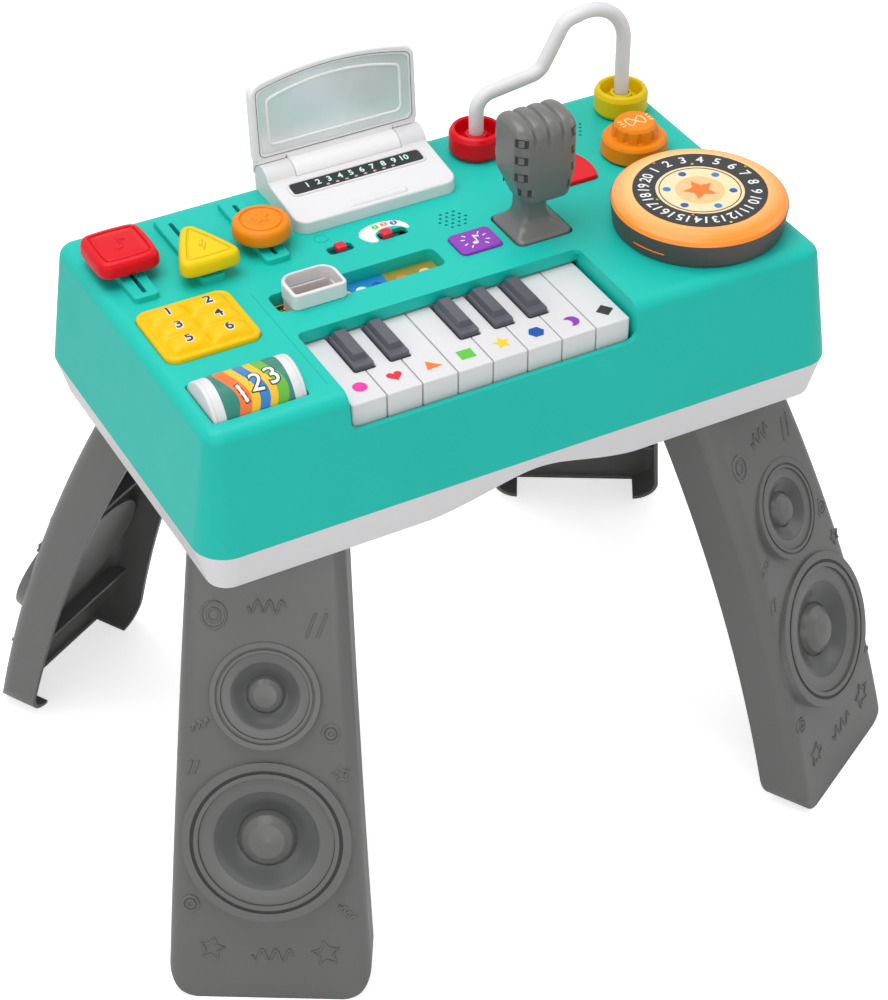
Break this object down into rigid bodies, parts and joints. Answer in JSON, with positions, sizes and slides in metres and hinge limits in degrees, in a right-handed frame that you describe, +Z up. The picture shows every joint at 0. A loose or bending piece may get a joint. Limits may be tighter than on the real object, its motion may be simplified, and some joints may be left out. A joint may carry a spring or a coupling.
{
  "type": "musical activity table",
  "caption": "Toddler's activity table on four splayed legs with keys, sliders, roller, flip-up laptop, microphone, turntable and turning rings",
  "frame": {"origin": "on the floor under the middle of the table top", "axes": "+X to the player's right, +Y to the back, +Z up"},
  "size_m": [0.5462, 0.4278, 0.4812],
  "materials": {
    "teal_plastic": "satin moulded",
    "white_plastic": "satin moulded",
    "grey_leg_plastic": "fine texture",
    "dark_key_plastic": "satin moulded",
    "mic_plastic": "satin moulded",
    "red_plastic": "glossy",
    "yellow_plastic": "glossy",
    "orange_plastic": "glossy, light passes through",
    "purple_plastic": "glossy",
    "black_print": "printed film",
    "printed_film": "printed film",
    "mirror_film": "polished",
    "steel": "plain",
    "rubber_grey": "plain",
    "board_green": "solder mask",
    "cell_metal": "plain",
    "speaker_black": "plain",
    "skirt_grey": "satin moulded"
  },
  "bodies": {
    "table": {"base_tray": "white_plastic", "batteries": "cell_metal", "battery_contacts": "steel", "battery_door": "white_plastic", "battery_door_screw": "steel", "black_key_bar": "dark_key_plastic", "button_contacts": "rubber_grey", "circuit_board": "board_green", "housing": "teal_plastic", "key_chassis": "skirt_grey", "key_contacts": "rubber_grey", "key_rod": "steel", "laptop_base": "white_plastic", "leg_front_left": "grey_leg_plastic", "leg_front_right": "grey_leg_plastic", "leg_rear_left": "grey_leg_plastic", "leg_rear_right": "grey_leg_plastic", "leg_screws": "steel", "lid_pin": "steel", "loudspeaker": "speaker_black", "microphone_pin": "steel", "number_strip": "black_print", "roller_axle": "steel", "spindles": "white_plastic", "switch_plate": "white_plastic", "tray_screws": "steel", "tube_arch": "white_plastic", "window_strip": "printed_film"},
    "key_body_1": {"white_key_1": "white_plastic"},
    "key_body_2": {"white_key_2": "white_plastic"},
    "key_body_3": {"white_key_3": "white_plastic"},
    "key_body_4": {"white_key_4": "white_plastic"},
    "key_body_5": {"white_key_5": "white_plastic"},
    "key_body_6": {"white_key_6": "white_plastic"},
    "key_body_7": {"white_key_7": "white_plastic"},
    "key_body_8": {"white_key_8": "white_plastic"},
    "slider_red": {"slider_cap_red": "red_plastic", "slider_carriage_red": "white_plastic"},
    "slider_yellow": {"slider_cap_yellow": "yellow_plastic", "slider_carriage_yellow": "white_plastic"},
    "slider_orange": {"slider_cap_orange": "orange_plastic", "slider_carriage_orange": "white_plastic"},
    "pad": {"number_pad": "yellow_plastic"},
    "roller": {"roller_drum": "printed_film", "roller_caps": "white_plastic"},
    "viewer": {"viewer_frame": "white_plastic"},
    "lid": {"laptop_lid": "white_plastic", "mirror": "mirror_film"},
    "switch_left": {"switch_knob_left": "red_plastic"},
    "switch_right": {"switch_knob_right": "red_plastic"},
    "purple": {"purple_button": "purple_plastic"},
    "red": {"red_button": "red_plastic"},
    "mic": {"microphone": "mic_plastic"},
    "platter": {"platter_skirt": "skirt_grey", "platter_cover": "orange_plastic", "dial_ring": "black_print"},
    "knob": {"tune_knob": "orange_plastic"},
    "ring_red": {"red_ring": "red_plastic"},
    "ring_yellow": {"yellow_ring": "yellow_plastic"}
  },
  "joints": [
    {"name": "key_press_1", "type": "hinge", "parent": "table", "child": "key_body_1", "pos_m": [-0.10635, -0.036, 0.3785], "axis": [1, 0, 0], "range_deg": [0, 2.5], "stiffness_Nm_per_rad": 1.2, "springref_deg": -5.16},
    {"name": "key_press_2", "type": "hinge", "parent": "table", "child": "key_body_2", "pos_m": [-0.08275, -0.036, 0.3785], "axis": [1, 0, 0], "range_deg": [0, 2.5], "stiffness_Nm_per_rad": 1.2, "springref_deg": -5.16},
    {"name": "key_press_3", "type": "hinge", "parent": "table", "child": "key_body_3", "pos_m": [-0.05915, -0.036, 0.3785], "axis": [1, 0, 0], "range_deg": [0, 2.5], "stiffness_Nm_per_rad": 1.2, "springref_deg": -5.16},
    {"name": "key_press_4", "type": "hinge", "parent": "table", "child": "key_body_4", "pos_m": [-0.03555, -0.036, 0.3785], "axis": [1, 0, 0], "range_deg": [0, 2.5], "stiffness_Nm_per_rad": 1.2, "springref_deg": -5.16},
    {"name": "key_press_5", "type": "hinge", "parent": "table", "child": "key_body_5", "pos_m": [-0.01195, -0.036, 0.3785], "axis": [1, 0, 0], "range_deg": [0, 2.5], "stiffness_Nm_per_rad": 1.2, "springref_deg": -5.16},
    {"name": "key_press_6", "type": "hinge", "parent": "table", "child": "key_body_6", "pos_m": [0.01165, -0.036, 0.3785], "axis": [1, 0, 0], "range_deg": [0, 2.5], "stiffness_Nm_per_rad": 1.2, "springref_deg": -5.16},
    {"name": "key_press_7", "type": "hinge", "parent": "table", "child": "key_body_7", "pos_m": [0.03525, -0.036, 0.3785], "axis": [1, 0, 0], "range_deg": [0, 2.5], "stiffness_Nm_per_rad": 1.2, "springref_deg": -5.16},
    {"name": "key_press_8", "type": "hinge", "parent": "table", "child": "key_body_8", "pos_m": [0.05885, -0.036, 0.3785], "axis": [1, 0, 0], "range_deg": [0, 2.5], "stiffness_Nm_per_rad": 1.2, "springref_deg": -5.16},
    {"name": "slide_red", "type": "slide", "parent": "table", "child": "slider_red", "axis": [0, 1, 0], "range_m": [-0.032, 0.021]},
    {"name": "slide_yellow", "type": "slide", "parent": "table", "child": "slider_yellow", "axis": [0, 1, 0], "range_m": [-0.01, 0.043]},
    {"name": "slide_orange", "type": "slide", "parent": "table", "child": "slider_orange", "axis": [0, 1, 0], "range_m": [-0.016, 0.037]},
    {"name": "press_pad", "type": "slide", "parent": "table", "child": "pad", "axis": [0, 0, -1], "range_m": [0, 0.002], "stiffness_N_per_m": 700, "springref_m": -0.003},
    {"name": "press_purple", "type": "slide", "parent": "table", "child": "purple", "axis": [0, 0, -1], "range_m": [0, 0.002], "stiffness_N_per_m": 400, "springref_m": -0.002},
    {"name": "press_red", "type": "slide", "parent": "table", "child": "red", "axis": [0, 0, -1], "range_m": [0, 0.002], "stiffness_N_per_m": 400, "springref_m": -0.002},
    {"name": "roller_spin", "type": "hinge", "parent": "table", "child": "roller", "pos_m": [-0.17, -0.083, 0.3865], "axis": [1, 0, 0], "continuous": true},
    {"name": "viewer_slide", "type": "slide", "parent": "table", "child": "viewer", "axis": [1, 0, 0], "range_m": [-0.009, 0.07]},
    {"name": "lid_fold", "type": "hinge", "parent": "table", "child": "lid", "pos_m": [-0.016, 0.102, 0.406], "axis": [1, 0, 0], "range_deg": [-10, 88]},
    {"name": "switch_left_slide", "type": "slide", "parent": "table", "child": "switch_left", "axis": [1, 0, 0], "range_m": [-0.0045, 0.0045]},
    {"name": "switch_right_slide", "type": "slide", "parent": "table", "child": "switch_right", "axis": [1, 0, 0], "range_m": [0, 0.009]},
    {"name": "mic_rock", "type": "hinge", "parent": "table", "child": "mic", "pos_m": [0.0616, -0.0087, 0.388], "axis": [1, 0, 0], "range_deg": [-6, 6], "stiffness_Nm_per_rad": 2.5},
    {"name": "platter_spin", "type": "hinge", "parent": "table", "child": "platter", "pos_m": [0.156, -0.0545, 0.405], "axis": [0, 0, 1], "continuous": true},
    {"name": "knob_spin", "type": "hinge", "parent": "table", "child": "knob", "pos_m": [0.164, 0.0355, 0.405], "axis": [0, 0, 1], "continuous": true},
    {"name": "ring_red_spin", "type": "hinge", "parent": "table", "child": "ring_red", "pos_m": [0.0736, 0.0855, 0.405], "axis": [0, 0, 1], "continuous": true},
    {"name": "ring_yellow_spin", "type": "hinge", "parent": "table", "child": "ring_yellow", "pos_m": [0.184, 0.0855, 0.405], "axis": [0, 0, 1], "continuous": true}
  ]
}
